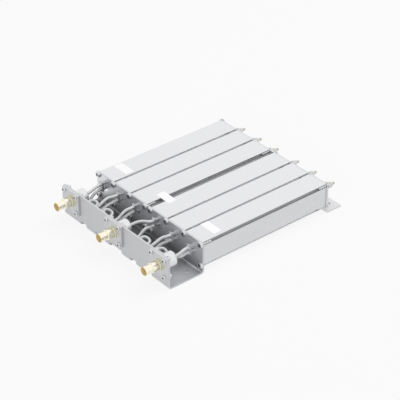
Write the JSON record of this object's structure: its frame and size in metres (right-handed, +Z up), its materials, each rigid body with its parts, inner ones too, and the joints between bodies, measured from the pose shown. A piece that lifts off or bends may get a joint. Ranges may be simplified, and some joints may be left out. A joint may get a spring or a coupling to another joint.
{
  "type": "cavity duplexer",
  "caption": "Flat cavity duplexer: extruded resonator cavities between two bent brackets, with bayonet jacks, a coax harness and screwdriver-slotted tuning rods.",
  "frame": {"origin": "centre of the four mounting holes, on the mounting face under the two brackets", "axes": "+X along the row of cavities from the first port to the last, +Y from the connector wall to the tuning rods, +Z up from the mounting face"},
  "size_m": [0.1754, 0.2562, 0.0372],
  "materials": {
    "sheet": "satin, clear chromated",
    "extrusion": "satin, as extruded",
    "plated_brass": "pale plated, turned",
    "gold": "gold plated",
    "dielectric": "natural white",
    "tinned": "tin plated",
    "steel": "zinc plated",
    "copper": "silver plated copper wire",
    "silvered": "silver plated",
    "rod": "nickel plated, dull",
    "coax": "tin soaked braid",
    "label": "white film, bare"
  },
  "bodies": {
    "chassis": {"front_bracket": "sheet", "rear_bracket": "sheet", "cavity_block_left": "extrusion", "cavity_block_right": "extrusion", "connector_plate_left": "sheet", "jack_left": "plated_brass", "jack_insulator_left": "dielectric", "jack_contact_left": "gold", "connector_hood_left": "tinned", "connector_plate_middle": "sheet", "jack_middle": "plated_brass", "jack_insulator_middle": "dielectric", "jack_contact_middle": "gold", "connector_hood_middle": "tinned", "connector_plate_right": "sheet", "jack_right": "plated_brass", "jack_insulator_right": "dielectric", "jack_contact_right": "gold", "connector_hood_right": "tinned", "connector_screws": "steel", "connector_nuts": "steel", "jack_nuts": "steel", "end_plate_screws": "steel", "rear_plate_screws": "steel", "port_ferrule_1": "tinned", "coupling_loop_1": "copper", "resonator_1": "silvered", "port_ferrule_2": "tinned", "coupling_loop_2": "copper", "resonator_2": "silvered", "port_ferrule_3": "tinned", "coupling_loop_3": "copper", "resonator_3": "silvered", "port_ferrule_4": "tinned", "coupling_loop_4": "copper", "resonator_4": "silvered", "port_ferrule_5": "tinned", "coupling_loop_5": "copper", "resonator_5": "silvered", "port_ferrule_6": "tinned", "coupling_loop_6": "copper", "resonator_6": "silvered", "coax_hood1_port1": "coax", "coax_port1_port2": "coax", "coax_port2_port3": "coax", "coax_port3_hood2": "coax", "coax_hood2_port4": "coax", "coax_port4_port5": "coax", "coax_port5_port6": "coax", "coax_port6_hood3": "coax", "feed_beads": "dielectric", "tuning_bushings": "rod", "tuning_lock_nuts": "rod", "labels": "label"},
    "tuner_1": {"tuning_rod_1": "rod"},
    "tuner_2": {"tuning_rod_2": "rod"},
    "tuner_3": {"tuning_rod_3": "rod"},
    "tuner_4": {"tuning_rod_4": "rod"},
    "tuner_5": {"tuning_rod_5": "rod"},
    "tuner_6": {"tuning_rod_6": "rod"}
  },
  "joints": [
    {"name": "tuner_1_slide", "type": "slide", "parent": "chassis", "child": "tuner_1", "axis": [0, 1, 0], "range_m": [-0.004, 0.01]},
    {"name": "tuner_2_slide", "type": "slide", "parent": "chassis", "child": "tuner_2", "axis": [0, 1, 0], "range_m": [-0.004, 0.01]},
    {"name": "tuner_3_slide", "type": "slide", "parent": "chassis", "child": "tuner_3", "axis": [0, 1, 0], "range_m": [-0.004, 0.01]},
    {"name": "tuner_4_slide", "type": "slide", "parent": "chassis", "child": "tuner_4", "axis": [0, 1, 0], "range_m": [-0.004, 0.01]},
    {"name": "tuner_5_slide", "type": "slide", "parent": "chassis", "child": "tuner_5", "axis": [0, 1, 0], "range_m": [-0.004, 0.01]},
    {"name": "tuner_6_slide", "type": "slide", "parent": "chassis", "child": "tuner_6", "axis": [0, 1, 0], "range_m": [-0.004, 0.01]}
  ]
}
